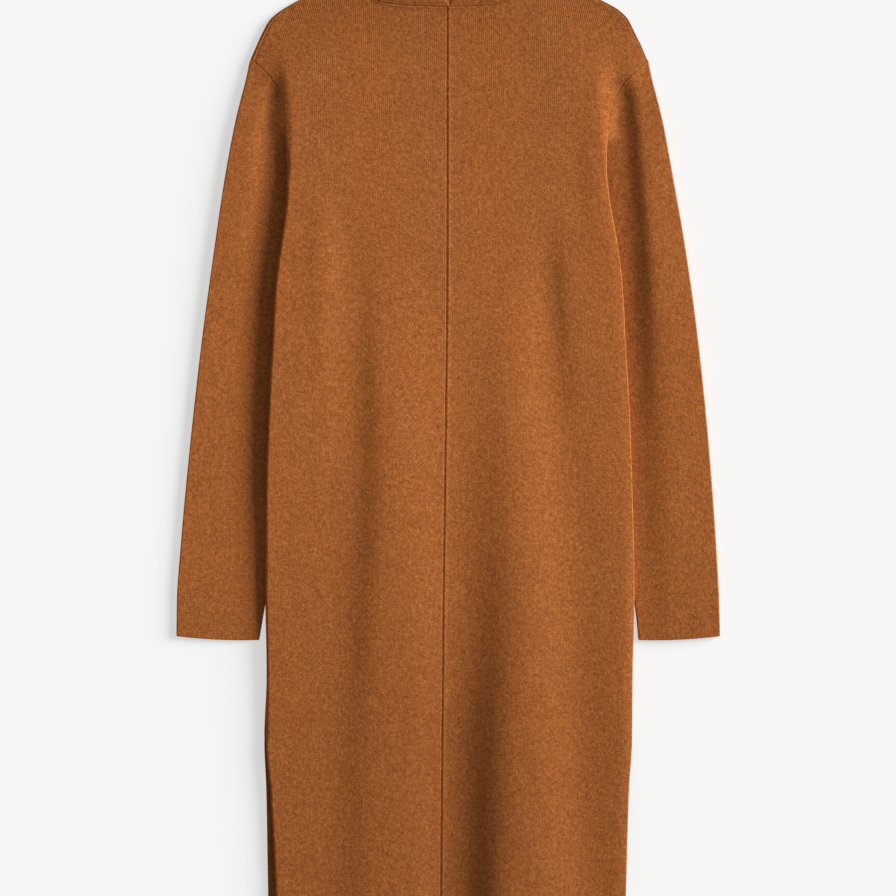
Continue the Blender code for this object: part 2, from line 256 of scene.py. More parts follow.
# Long soft folds, each a rise (or fall) from left to right across its line
folds = [
    table("drop across rise spread", rows)
    for rows in (
        [
            (215, -146, 0.0, 8), (260, -146, 0.7, 8), (318, -146, 1.0, 8), (371, -143, 0.7, 9),
            (440, -140, 0.0, 10),
        ],
        [
            (130, 144, 0.0, 8), (165, 145, 0.5, 8), (212, 146, 1.0, 8), (265, 150, 0.5, 8),
            (310, 152, 0.0, 8),
        ],
        [
            (220, -126, 0.0, 8), (252, -125, -1.2, 9), (300, -122, -2.2, 11), (371, -123, -1.8, 13),
            (445, -121, -1.2, 16), (519, -120, -0.5, 18), (594, -120, 0.0, 18),
        ],
        [
            (250, -84, 0.0, 11), (318, -84, 1.3, 11), (371, -84, 2.4, 11), (445, -84, 3.8, 12),
            (519, -84, 4.8, 13), (594, -87, 5.2, 14), (668, -92, 5.0, 15), (742, -95, 4.4, 16),
            (816, -100, 4.0, 18), (890, -101, 3.8, 19), (959, -103, 3.8, 19), (1161, -106, 3.8, 19),
        ],
        [
            (300, -28, 0.0, 24), (371, -27, -2.0, 25), (445, -26, -4.6, 26), (519, -25, -4.4, 26),
            (594, -20, -4.4, 24), (668, -18, -4.0, 23), (742, -16, -3.4, 21), (816, -19, -3.1, 19),
            (890, -21, -3.1, 17), (959, -22, -3.3, 14), (1161, -24, -3.3, 14),
        ],
        [
            (340, 50, 0.0, 17), (371, 49, 0.9, 17), (445, 47, 2.6, 19), (519, 46, 5.2, 23),
            (594, 45, 8.0, 25), (668, 45, 10.6, 25), (742, 42, 12.6, 23), (816, 37, 14.6, 22),
            (890, 37, 15.4, 20), (959, 35, 15.4, 19), (1161, 33, 15.6, 19),
        ],
        [
            (230, 90, 0.0, 14), (318, 90, -1.8, 15), (371, 92, -3.4, 18), (445, 95, -5.6, 25),
            (519, 99, -6.4, 29), (594, 106, -6.4, 29), (668, 110, -6.6, 29), (742, 113, -6.9, 28),
            (816, 116, -7.0, 27), (890, 120, -7.1, 27), (959, 123, -7.1, 27), (1161, 126, -7.1, 27),
        ],
        [
            (240, 114, 0.0, 8), (290, 115, 1.6, 8), (318, 116, 2.4, 9), (371, 119, 2.8, 10),
            (445, 126, 2.2, 14), (519, 137, 1.8, 20), (594, 152, 2.8, 22), (668, 155, 3.6, 24),
            (742, 158, 3.6, 25), (816, 159, 3.6, 25), (890, 161, 3.4, 26), (1161, 167, 3.0, 26),
        ],
    )
]

sleeveLay = {
    # top face: low beside the body, a crest, then a slow fall to the outer fold
    "left": table("drop valley line spread crest toBody lean", [
        (86, 4.3, 190, 7, 4.8, 0.0, 1.5), (106, 4.3, 190.5, 6, 5.6, 0.0, 1.9),
        (128, 4.2, 194, 6, 6.4, 0.0, 0.8), (159, 4.1, 198, 6.5, 6.8, 0.0, 0.0),
        (212, 3.9, 203, 8, 7.0, 0.0, 0.0), (265, 3.8, 209, 10, 6.8, 0.0, 0.2),
        (318, 3.8, 215, 12.5, 6.6, 0.0, 0.2), (371, 3.8, 222, 13.5, 6.2, 0.0, 0.2),
        (445, 4.0, 227, 14, 5.8, 0.0, 0.0), (519, 4.2, 230, 15, 5.6, 0.0, 0.0),
        (580, 4.4, 232, 15, 5.4, 1.5, 0.0), (640, 4.4, 229, 15, 5.2, 0.0, 0.0),
        (700, 4.4, 230, 15, 4.8, 0.0, 0.0),
    ]),
    "right": table("drop valley line spread crest toBody lean", [
        (86, 5.4, 187, 5, 6.4, 0.0, -0.6), (106, 6.0, 189, 5, 8.8, 0.0, -1.0),
        (128, 6.2, 192, 6, 10.8, 0.0, -1.6), (159, 6.0, 195, 7, 11.6, 0.0, -2.0),
        (212, 5.6, 199, 8, 11.8, -0.8, -2.4), (265, 5.4, 203, 9, 12.4, -0.5, -2.4),
        (318, 5.0, 206, 10, 12.6, 0.0, -2.2), (371, 4.6, 208, 12, 12.2, -0.2, -1.4),
        (445, 4.5, 211, 14, 10.6, 0.0, -0.6), (519, 4.5, 214, 15, 8.8, 0.0, 0.0),
        (594, 4.5, 219, 15, 8.0, 0.0, 0.0), (660, 4.5, 222, 14, 6.6, 0.0, 0.0),
        (700, 4.4, 225, 14, 5.4, 0.0, 0.0),
    ]),
    "leanFrom": 8.0,  # beyond the crest's line
    "leanOver": 60.0,
    "bodySlope": 22.0,  # how far from the body's edge the top face still rises to it
    "foldIn": (0.9, 1.4),  # rounding of the folds, sideways, at the head and further down
    "flush": (158.0, 24.0),  # drop at which the head begins to leave the back, and over how far
}

frontLay = {
    "overLapel": 2.3,  # height over the turned-back collar
    "lapelMargin": 8.0,  # how far beyond its edge that lasts, and how far it takes to end
    "sleeveRamp": 40.0,  # width of the climb onto the sleeve
    "overSleeve": ((160.0, 20.0), (665.0, 60.0)),  # drops at which the sleeve begins and ends to count
    "clearance": 0.35,
}


def foldHeight(across, drop):
    # Sum over the folds of rise * (1 + tanh((across - line) / spread)) / 2
    total = np.zeros_like(across)
    for fold in folds:
        line = follow(fold, "across", drop)
        spread = follow(fold, "spread", drop)
        rise = follow(fold, "rise", drop)
        total += rise * 0.5 * (1.0 + np.tanh((across - line) / spread))
    return total


def sleeveTop(side, across, drop):
    # Top face of a sleeve: valley height, a tanh rise to the crest, a slow lean
    # beyond it, and a short slope up to the body's edge that ends under the body
    lay = sleeveLay[side]
    half = follow(sideLine, side, drop)
    valley = follow(lay, "valley", drop)
    rise = follow(lay, "crest", drop) - valley
    line, spread = follow(lay, "line", drop), follow(lay, "spread", drop)
    top = valley + rise * 0.5 * (1.0 + np.tanh((across - line) / spread))
    beyond = np.maximum(across - line - sleeveLay["leanFrom"], 0.0) / sleeveLay["leanOver"]
    top = top + follow(lay, "lean", drop) * np.minimum(beyond, 1.0)
    slope = sleeveLay["bodySlope"]
    beside = np.clip((half + slope - across) / slope, 0.0, 1.0) ** 2
    return top + follow(lay, "toBody", drop) * beside * ease((across - half) / slope + 1.0)


def seamHeight(out):
    # Height of the seam at neck and shoulder, which sinks from one to the other
    low, high = backLay["shoulderHeight"], backLay["neckHeight"]
    return low + (high - low) * (1.0 - ramp(out, *backLay["neckFade"]))


def backTop(across, drop):
    # Outer face of the back without its edge roll: the level of the left edge,
    # plus the folds, plus the slow tilt that brings it to the level of the right
    # edge. It sinks to the seams at neck and shoulder, and beside the armholes to
    # the top of the sleeve, so back and sleeve are one surface there.
    out = np.abs(across)
    left = follow(backLay["level"], "left", drop)
    right = follow(backLay["level"], "right", drop)
    halfLeft = follow(sideLine, "left", drop)
    halfRight = follow(sideLine, "right", drop)
    part = (across + halfLeft) / (halfLeft + halfRight)
    startFolds = foldHeight(-halfLeft, drop)
    endFolds = foldHeight(halfRight, drop) - startFolds
    level = left + foldHeight(across, drop) - startFolds + part * (right - left - endFolds)
    seam = seamHeight(out)
    seamDrop = np.where(across < 0.0, topEdge("left", out), topEdge("right", out))
    seamDrop = np.hypot(seamDrop, backLay["seamSoft"])
    level = seam + (level - seam) * ramp(drop, seamDrop, backLay["seamRise"])
    for side, here in (("left", across < 0.0), ("right", across >= 0.0)):
        gutter = backLay[side + "Gutter"]
        line, width = follow(gutter, "line", drop), follow(gutter, "width", drop)
        near = ease((out - line) / width + 0.5) * follow(gutter, "share", drop) * here
        level = level + (sleeveTop(side, out, drop) - level) * near
    return level


def frontBed(side, across, drop):
    # What a front lies on: the floor, the lapel, or the sleeve's top face
    margin, slope = frontLay["lapelMargin"], frontLay["sleeveRamp"]
    lapelEnd = follow(collarLine, "edgeAcross", drop, "edgeDrop") + margin
    lapel = frontLay["overLapel"] * (1.0 - ramp(across, lapelEnd, margin))
    reach = follow(sleeveReach, "across", drop)
    climb = ramp(across, reach - slope, slope) * between(drop, *frontLay["overSleeve"])
    return np.maximum(lapel, climb * sleeveTop(side, np.maximum(across, reach), drop))


def toWorld(across, drop, height):
    # Garment millimetres to world metres
    across, drop, height = np.broadcast_arrays(across, drop, height)
    return np.stack([across * mm, (middleDrop - drop) * mm, height * mm], axis=-1)


def newObject(name, data):
    # An object at the origin, in the scene
    made = bpy.data.objects.new(name, data)
    bpy.context.scene.collection.objects.link(made)
    return made


def unit(vectors):
    # Vectors over their own lengths
    return vectors / np.maximum(np.linalg.norm(vectors, axis=-1, keepdims=True), 1e-12)


def borderDistance(points, border, axis):
    # Distance of every point from a border line of the grid, square to that line
    edge = np.take(points, [border], axis=axis)
    tangent = unit(np.gradient(edge, axis=1 - axis))
    return np.linalg.norm(np.cross(points - edge, tangent), axis=-1)


def faceNormals(points, facing, ring):
    # Normals of a grid: rows crossed with columns, which in a ring go round
    if ring:
        wide = join([points[:, -1:], points, points[:, :1]], axis=1)
        alongColumn = np.gradient(wide, axis=1)[:, 1:-1]
    else:
        alongColumn = np.gradient(points, axis=1)
    return facing * unit(np.cross(np.gradient(points, axis=0), alongColumn))


def runAlong(points, axis):
    # Distance covered along one axis of a grid, from 0
    step = np.linalg.norm(np.diff(points, axis=axis), axis=-1)
    start = 0.0 * np.take(step, [0], axis=axis)
    return join([start, np.cumsum(step, axis=axis)], axis=axis)


def plainCloth(points, uv, ribs):
    # A grid with the full wall and the same strength of stitch columns all over
    plain = np.ones(points.shape[:2])
    return {"points": points, "uv": uv, "ribs": ribs * plain, "wall": cut["wall"] * plain}


def quarterTurn(lines):
    # Even angles from 0 to 90 degrees
    return np.linspace(0.0, math.pi / 2, lines)


def seamSteps(seam, further=(), scale=1.0):
    # Distances r (1 - cos t) from a seam edge at which its turning in needs lines,
    # measured in the given scale, and the lines further on
    turning = cut["seamRound"][seam] * (1.0 - np.cos(quarterTurn(cut["seamLines"])))
    return join([turning / scale, further])


def turnedIn(cloth, seam="plain", lift=(0.0, 0.0, 1.0), byColumns=False, share=1.0):
    # Turns a seam edge in. The first lines of the grid lie r (1 - cos t) from the
    # edge and sink by r (1 - sin t) against the lift. More lines go on down the
    # tuck, which leans out a little to meet its neighbour's. The wall thins there.
    # With a share below 1 the edge turns in less, and its tuck lies flatter.
    if byColumns:
        cloth = {key: value.swapaxes(0, 1) for key, value in cloth.items()}
    points = cloth["points"].copy()
    radius = cut["seamRound"][seam]
    sink = radius * (1.0 - np.sin(quarterTurn(cut["seamLines"]))) * mm
    share = np.broadcast_to(share, points.shape[1])[:, None]
    lift = np.array(lift) * share
    inward = unit((points[len(sink)] - points[0]) * (1.0, 1.0, 0.0))
    tuck = tuckSteps[::-1, None, None] * mm
    lean = cut["tuckLean"] + 0.5 * (1.0 - share)
    tucked = points[0] - lift * (radius * mm + tuck) + inward * tuck * lean
    fromEdge = np.linalg.norm(points - points[:1], axis=-1) / mm
    thin = cut["tuckWall"] + (cut["wall"] - cut["tuckWall"]) * ease(fromEdge / cut["tuckFade"])
    wall = cloth["wall"] + (np.minimum(thin, cloth["wall"]) - cloth["wall"]) * share[:, 0]
    points[: len(sink)] -= lift * sink[:, None, None]
    count = len(tuck)
    made = {"points": join([tucked, points])}
    for key, value in (("uv", cloth["uv"]), ("ribs", cloth["ribs"]), ("wall", wall)):
        made[key] = join([np.repeat(value[:1], count, axis=0), value])
    if byColumns:
        made = {key: value.swapaxes(0, 1) for key, value in made.items()}
    return made


def clothMesh(name, cloth, facing, ring, material):
    # Gives an outer face its wall. The middle of the wall is outer - normal * r
    # with r half the wall; the two faces lie h to either side of it, where h is
    # r * sqrt(1 - (1 - b / r)^2) at b from a cut edge, so every edge is half round.
    # In a ring the columns close on themselves and only the ends are cut edges.
    points, uv, ribs = cloth["points"], cloth["uv"], cloth["ribs"]
    rows, columns = points.shape[:2]
    normal = faceNormals(points, facing, ring)
    half = cloth["wall"] / 2 * mm
    rim = np.ones((rows, columns))
    for axis in (0,) if ring else (0, 1):
        for border in (0, -1):
            short = 1.0 - np.minimum(borderDistance(points, border, axis) / half, 1.0)
            rim = np.minimum(rim, np.sqrt(1.0 - short**2))
    middle = points - normal * half[..., None]
    outer = middle + normal * (half * rim)[..., None]
    inner = middle - normal * (half * rim)[..., None]

    edge = np.zeros((rows, columns), dtype=bool)
    edge[[0, -1]] = True
    if not ring:
        edge[:, [0, -1]] = True
    outerIndex = np.arange(rows * columns).reshape(rows, columns)
    innerIndex = outerIndex.copy()
    innerIndex[~edge] = rows * columns + np.arange((~edge).sum())
    vertices = join([outer.reshape(-1, 3), inner[~edge]])
    ribShare = join([ribs.ravel(), ribs[~edge]])

    if ring:
        outerIndex = join([outerIndex, outerIndex[:, :1]], axis=1)
        innerIndex = join([innerIndex, innerIndex[:, :1]], axis=1)
    uvIndex = np.arange(uv[..., 0].size).reshape(uv.shape[:2])

    def quads(index, way):
        # Four corners for every cell, turned the other way round where way < 0
        corners = [index[:-1, :-1], index[1:, :-1], index[1:, 1:], index[:-1, 1:]]
        return np.stack(corners, axis=-1).reshape(-1, 4)[:, :: int(way)]

    allFaces = join([quads(outerIndex, facing), quads(innerIndex, -facing)])
    uvFaces = join([quads(uvIndex, facing), quads(uvIndex, -facing)])
    allUv = uv.reshape(-1, 2)[uvFaces.ravel()]

    mesh = bpy.data.meshes.new(name)
    mesh.vertices.add(len(vertices))
    mesh.vertices.foreach_set("co", vertices.ravel())
    mesh.loops.add(allFaces.size)
    mesh.loops.foreach_set("vertex_index", allFaces.ravel().astype(np.int32))
    mesh.polygons.add(len(allFaces))
    mesh.polygons.foreach_set("loop_start", np.arange(0, allFaces.size, 4, dtype=np.int32))
    mesh.update(calc_edges=True)
    layer = mesh.uv_layers.new(name="cloth")
    layer.data.foreach_set("uv", allUv.ravel())
    share = mesh.attributes.new("ribs", "FLOAT", "POINT")
    share.data.foreach_set("value", ribShare)
    mesh.shade_smooth()
    mesh.validate()
    mesh.materials.append(material)
    print(name, len(allFaces) * 2, "triangles")
    return newObject(name, mesh)


knitLook = {
    "wale": 2.15,  # width of one column of stitches
    "course": 1.7,  # height of one row of stitches
    "slant": 0.6,  # of a stitch's legs, in rows
    "sway": 0.9,  # how far a column strays
    "ribPatches": 2.4,  # how unevenly the columns show through the nap
    # share of tone, and relief
    "rib": (0.24, 0.055),
    "stitch": (0.05, 0.03),
    # noise: scale, detail, distortion, roughness; then share of tone, and relief
    "nap": {
        "fibre": (900.0, 1.0, 0.4, 0.55, 0.9, 0.07),
        "grain": (430.0, 2.0, 0.25, 0.6, 1.3, 0.17),
        "tuft": (230.0, 2.0, 0.3, 0.6, 0.9, 0.30),
        "cloud": (34.0, 3.0, 0.8, 0.55, 0.20, 0.0),
        "wash": (6.0, 2.0, 0.0, 0.55, 0.06, 0.0),
    },
    "swayNoise": (70.0, 1.0, 0.0, 0.55),
    "patchNoise": (60.0, 3.0, 0.6, 0.55),
    "shade": (0.186, 0.047, 0.0105),
    "body": (0.304, 0.0885, 0.0197),
    "light": (0.440, 0.152, 0.041),
    # how the tone deepens towards the ends, by drop
    "ends": (
        (0, 0.78), (90, 0.90), (250, 0.97), (450, 0.99),
        (620, 0.95), (780, 0.83), (1000, 0.77), (1161, 0.76),
    ),
    "endsScale": 1.05,
    "finish": {
        "Roughness": 0.95,
        "Sheen Weight": 0.35,
        "Sheen Roughness": 0.45,
        "Sheen Tint": (1.0, 0.58, 0.28, 1.0),
        "Specular IOR Level": 0.08,
    },
}


def setSockets(node, values):
    # Values for a node's inputs by name
    for socket, value in values.items():
        node.inputs[socket].default_value = value


def nodeMath(tree, operation, *values):
    # One Math node, whose values are numbers or other nodes' outputs
    node = tree.nodes.new("ShaderNodeMath")
    node.operation = operation
    for slot, value in zip(node.inputs, values):
        if isinstance(value, bpy.types.NodeSocket):
            tree.links.new(value, slot)
        else:
            slot.default_value = value
    return node.outputs[0]


def nodeNoise(tree, vector, scale, detail, distortion, roughness):
    # Noise centred on 0, about -0.5 to 0.5
    node = tree.nodes.new("ShaderNodeTexNoise")
    setSockets(node, {"Scale": scale, "Detail": detail, "Roughness": roughness, "Distortion": distortion})
    tree.links.new(vector, node.inputs["Vector"])
    return nodeMath(tree, "SUBTRACT", node.outputs["Fac"], 0.5)


def knitMaterial(name):
    # Columns of V shaped stitches on the UV map, whose unit is a metre of cloth,
    # shown as strongly as the "ribs" attribute says, under a felted nap: grain
    # and curls of fibre on Object coordinates, in both colour and relief
    material = bpy.data.materials.new(name)
    material.use_nodes = True
    tree = material.node_tree
    link, newNode = tree.links.new, tree.nodes.new
    shader = tree.nodes["Principled BSDF"]
    place = newNode("ShaderNodeUVMap")
    place.uv_map = "cloth"
    parts = newNode("ShaderNodeSeparateXYZ")
    link(place.outputs["UV"], parts.inputs[0])
    uAcross, vDown = parts.outputs["X"], parts.outputs["Y"]
    spot = newNode("ShaderNodeTexCoord").outputs["Object"]
    ribShare = newNode("ShaderNodeAttribute")
    ribShare.attribute_name = "ribs"

    sway = nodeNoise(tree, spot, *knitLook["swayNoise"])
    wander = nodeMath(tree, "MULTIPLY_ADD", sway, knitLook["sway"] * mm, uAcross)
    column = nodeMath(tree, "FRACT", nodeMath(tree, "DIVIDE", wander, knitLook["wale"] * mm))
    leg = nodeMath(tree, "ABSOLUTE", nodeMath(tree, "MULTIPLY_ADD", column, 2.0, -1.0))
    rib = nodeMath(tree, "COSINE", nodeMath(tree, "MULTIPLY", leg, math.pi))  # 1 mid column
    row = nodeMath(tree, "DIVIDE", vDown, knitLook["course"] * mm)
    slant = nodeMath(tree, "MULTIPLY_ADD", leg, -knitLook["slant"], row)
    stitch = nodeMath(tree, "COSINE", nodeMath(tree, "MULTIPLY", slant, 2.0 * math.pi))
    patch = nodeNoise(tree, spot, *knitLook["patchNoise"])
    patch = nodeMath(tree, "MULTIPLY_ADD", patch, knitLook["ribPatches"], 1.0)
    shown = nodeMath(tree, "MULTIPLY", ribShare.outputs["Fac"], patch)
    rib = nodeMath(tree, "MULTIPLY", rib, shown)
    stitch = nodeMath(tree, "MULTIPLY", stitch, shown)

    layers = []
    for *noise, shade, relief in knitLook["nap"].values():
        layers.append((nodeNoise(tree, spot, *noise), shade, relief))
    layers += [(rib, *knitLook["rib"]), (stitch, *knitLook["stitch"])]
    tone, height = 0.5, 0.0
    for layer, shade, relief in layers:
        tone = nodeMath(tree, "MULTIPLY_ADD", layer, shade, tone)
        if relief:
            height = nodeMath(tree, "MULTIPLY_ADD", layer, relief * mm, height)
    ramp = newNode("ShaderNodeValToRGB")
    ramp.color_ramp.elements[0].color = (*knitLook["shade"], 1.0)
    ramp.color_ramp.elements[1].color = (*knitLook["light"], 1.0)
    middle = ramp.color_ramp.elements.new(0.5)
    middle.color = (*knitLook["body"], 1.0)
    link(tone, ramp.inputs["Fac"])

    # the base colour is multiplied down towards the neck and the hem, following the drop
    spotParts = newNode("ShaderNodeSeparateXYZ")
    link(spot, spotParts.inputs[0])
    down = nodeMath(tree, "MULTIPLY_ADD", spotParts.outputs["Y"], -1.0, middleDrop * mm)
    down = nodeMath(tree, "DIVIDE", down, cut["length"] * mm)
    ends = newNode("ShaderNodeValToRGB")
    ends.color_ramp.interpolation = "B_SPLINE"
    stops = ends.color_ramp.elements
    for drop, amount in knitLook["ends"][1:-1]:
        stops.new(drop / cut["length"])
    for stop, (drop, amount) in zip(stops, knitLook["ends"]):
        stop.color = (amount, amount, amount, 1.0)
    link(down, ends.inputs["Fac"])
    darkerAtEnds = newNode("ShaderNodeVectorMath")
    darkerAtEnds.operation = "MULTIPLY"
    scaled = nodeMath(tree, "MULTIPLY", ends.outputs["Color"], knitLook["endsScale"])
    link(ramp.outputs["Color"], darkerAtEnds.inputs[0])
    link(scaled, darkerAtEnds.inputs[1])
    link(darkerAtEnds.outputs["Vector"], shader.inputs["Base Color"])
    bump = newNode("ShaderNodeBump")
    setSockets(bump, {"Strength": 1.0, "Distance": 1.0})
    link(height, bump.inputs["Height"])
    link(bump.outputs["Normal"], shader.inputs["Normal"])

    setSockets(shader, knitLook["finish"])
    return material


backCloth = {
    "nearSeam": [0.55, 0.85, 1.2, 1.6, 2.0, 2.5, 3.1, 3.9, 5.2, 7.2],
    "columns": 70,
    "crowding": 1.4,  # of the columns towards the side
    "rollSteps": 9,
    "nearTop": [1.1, 1.5, 2.0, 2.6, 3.4, 4.6, 6.4, 9.6],
    "upperRows": 96,
    "sideRows": 180,
    "slitRows": 118,
    # ridges beside the seams: height, place, spread
    "seamRidge": {"left": ((-0.16, 0.0, 0.4),), "right": ((-0.42, 0.0, 1.2), (0.32, 2.6, 1.0))},
    "neckRidge": (0.42, 2.2, 1.1),
    "edgeRidge": (0.16, 1.5, 0.7),
    "tackMarks": ((-25.9, 29.5, 38.0), (39.0, 28.5, 32.0)),  # across, from drop, to drop
    "tackMark": (0.25, 0.6),  # height, spread
    "cornerRoll": 0.3,  # share of the side roll at the shoulder point, whose corner is sharp
    "neckEnd": (90.0, 12.0),  # across, where the neck's ridge gives way to the edge ridge
    "armholeSeam": ((84.0, 6.0), (112.0, 22.0)),  # drops at which its ridge begins and ends
    "sideWall": (180.0, 40.0),  # drop from which the side edge keeps its full wall
    "tackFade": 1.5,
    # stitch columns at the shoulder: origin and radius of the rays, their fade away
    # from the seam and in beyond the origin, and how far apart rays and straight
    # columns are where the ribs between them have faded
    "fan": {
        "across": 98.0, "drop": 215.0, "radius": 190.0,
        "near": (16.0, 34.0), "start": 8.0, "apart": 6.0, "points": 90,
    },
    "ribs": table("drop share", [(0, 0.55), (90, 0.45), (190, 0.3), (400, 0.2), (1161, 0.15)]),
}


def backUv(side, across, drop):
    # Columns hang straight down. Near a shoulder seam they fan out like rays from
    # a point below it: u = start + radius * angle. Between the two the ribs fade.
    fan = backCloth["fan"]
    out = np.abs(across)
    seamAcross = np.linspace(fan["across"], cut["shoulder"][side] + 1.0, fan["points"])
    seamDrop = topEdge(side, seamAcross)
    nearest = np.hypot(out[..., None] - seamAcross, drop[..., None] - seamDrop).min(axis=-1)
    angle = np.arctan2(out - fan["across"], np.maximum(fan["drop"] - drop, 1.0))
    rays = fan["across"] + fan["radius"] * angle
    straight = out - np.sign(across) * follow(centreBack, "across", drop)
    share = (1.0 - ramp(nearest, *fan["near"])) * ramp(out, fan["across"], fan["start"])
    u = np.sign(across) * (straight + share * (rays - straight))
    apart = np.clip(np.abs(rays - straight) / fan["apart"], 0.0, 1.0)
    fading = 4.0 * share * (1.0 - share) * apart
    plain = follow(backCloth["ribs"], "share", drop)
    ribs = (plain + (1.0 - plain) * share) * (1.0 - fading)
    return np.stack([u * mm, drop * mm], axis=-1), ribs


def makeBack(side, material):
    # A grid of drops by distances from the centre-back seam. The last columns run
    # round the edge roll, in * (1 - sin t) from the edge and down * (1 - cos t)
    # below the face, and then down the tuck
    sign = sideSign[side]
    near = seamSteps("centre", backCloth["nearSeam"])
    spread = 1.0 - np.linspace(1.0, 0.0, backCloth["columns"] + 1)[1:] ** backCloth["crowding"]
    turn = quarterTurn(backCloth["rollSteps"] + 1)[1:]
    lines = len(near) + len(spread)
    inShare = join([1.0 - np.sin(turn), 0.0 * tuckSteps])
    downShare = join([np.zeros(lines), 1.0 - np.cos(turn), np.ones_like(tuckSteps)])
    tuckDown = join([np.zeros(lines + len(turn)), tuckSteps])
    tip = cut["shoulder"][side]
    firstIn = backCloth["cornerRoll"] * follow(backLay["roll"], side + "In", 0.0)
    flatRun = (tip - firstIn - near[-1]) * spread
    startAcross = join([near, near[-1] + flatRun, tip - firstIn * inShare])
    startDrop = topEdge(side, startAcross)
    slopeAt = np.minimum(startAcross, tip - 0.5)
    slope = topEdge(side, slopeAt + 0.5) - topEdge(side, slopeAt - 0.5)
    offsets = seamSteps("plain", backCloth["nearTop"])[:, None] * np.hypot(1.0, slope)
    upper = np.linspace(0.0, 1.0, backCloth["upperRows"] + 1)[1:, None]
    upper = startDrop + offsets[-1] + (cut["underarm"] - startDrop - offsets[-1]) * upper
    sideDrops = np.linspace(cut["underarm"], cut["slitTop"], backCloth["sideRows"] + 1)[1:]
    slitEnd = cut["length"] - cut["lastRow"]
    slitDrops = np.linspace(cut["slitTop"], slitEnd, backCloth["slitRows"] + 1)[1:]
    levels = join([sideDrops, slitDrops, hemRows])[:, None] + 0.0 * startDrop
    drop = join([startDrop + offsets, upper, levels])

    edgeDrop = drop[:, -1:]
    half = follow(sideLine, side, edgeDrop)
    roll = backLay["roll"]
    rollIn, rollDown = follow(roll, side + "In", edgeDrop), follow(roll, side + "Down", edgeDrop)
    tuckShare = follow(roll, "tuck", edgeDrop)
    centre = follow(centreBack, "across", drop)
    edgeCentre = follow(centreBack, "across", edgeDrop)
    width = half - sign * edgeCentre - cut["seamGap"] / 2
    flat = width - rollIn - near[-1]
    rolled = width - rollIn * inShare
    run = join([near + 0.0 * flat, near[-1] + flat * spread, rolled], axis=1)
    run -= cut["tuckLean"] * tuckDown * tuckShare
    away = run / width
    across = centre * (1.0 - away) + edgeCentre * away + sign * (cut["seamGap"] / 2 + run)

    height = backTop(across, drop) - rollDown * downShare - tuckDown * tuckShare
    nearEdge = np.clip(1.0 - (width - run) / backLay["fallReach"], 0.0, 1.0)
    height -= follow(roll, side + "Fall", edgeDrop) * nearEdge**2
    for ridge, at, wide in backCloth["seamRidge"][side]:
        height += ridge * bell(run - at, wide)
    fromTop = (drop - drop[:1]) / np.hypot(1.0, slope)
    atNeck = 1.0 - ramp(startAcross, *backCloth["neckEnd"])
    armhole = between(drop, *backCloth["armholeSeam"])
    for name, fromSeam, seen in (
        ("neckRidge", fromTop, atNeck),
        ("edgeRidge", fromTop, 1.0 - atNeck),
        ("edgeRidge", width - run, armhole),
    ):
        ridge, at, wide = backCloth[name]
        height += ridge * bell(fromSeam - at, wide) * seen
    tall, wide = backCloth["tackMark"]
    fade = backCloth["tackFade"]
    for at, first, end in backCloth["tackMarks"]:
        seen = between(drop, (first, fade), (end - fade, fade))
        height += tall * bell(across - at, wide) * seen

    uv, ribs = backUv(side, across, drop)
    full = ease((width - run) / cut["tuckFade"]) + ramp(edgeDrop, *backCloth["sideWall"])
    wall = cut["tuckWall"] + (cut["wall"] - cut["tuckWall"]) * np.minimum(1.0, full)
    cloth = {"points": toWorld(across, drop, height), "uv": uv, "ribs": ribs, "wall": wall}
    cloth = turnedIn(turnedIn(cloth), "centre", byColumns=True)
    return clothMesh("back" + side.capitalize(), cloth, sign, False, material)


sleeveCloth = {
    "nearHead": [0.03, 0.05, 0.08, 0.11, 0.15, 0.2, 0.26, 0.34],  # in stations
    "stationLength": 25.0,  # millimetres taken for one station at the head
    "cuffLength": 480.0,  # and for all of them where the cuff's lines are placed
    "cuffMargin": 0.01,  # least distance of an even row from those lines, in stations
    "corner": 0.0004,  # part at which the seam leaves the outer fold
    "rows": 210,
    "topColumns": 76,
    "foldColumns": 12,
    "underColumns": 26,
    "crowding": 1.25,
    "headReach": 3.5,  # stations over which the head's curve fades out
    "cuffBow": 1.6,
    "bowed": (7.5, 1.5),  # station at which the bow begins, and over how many
    "ridgeSize": (1.4, 1.3),  # of the armhole's ridge against the back's: place and spread
    "ribs": 0.3,
}


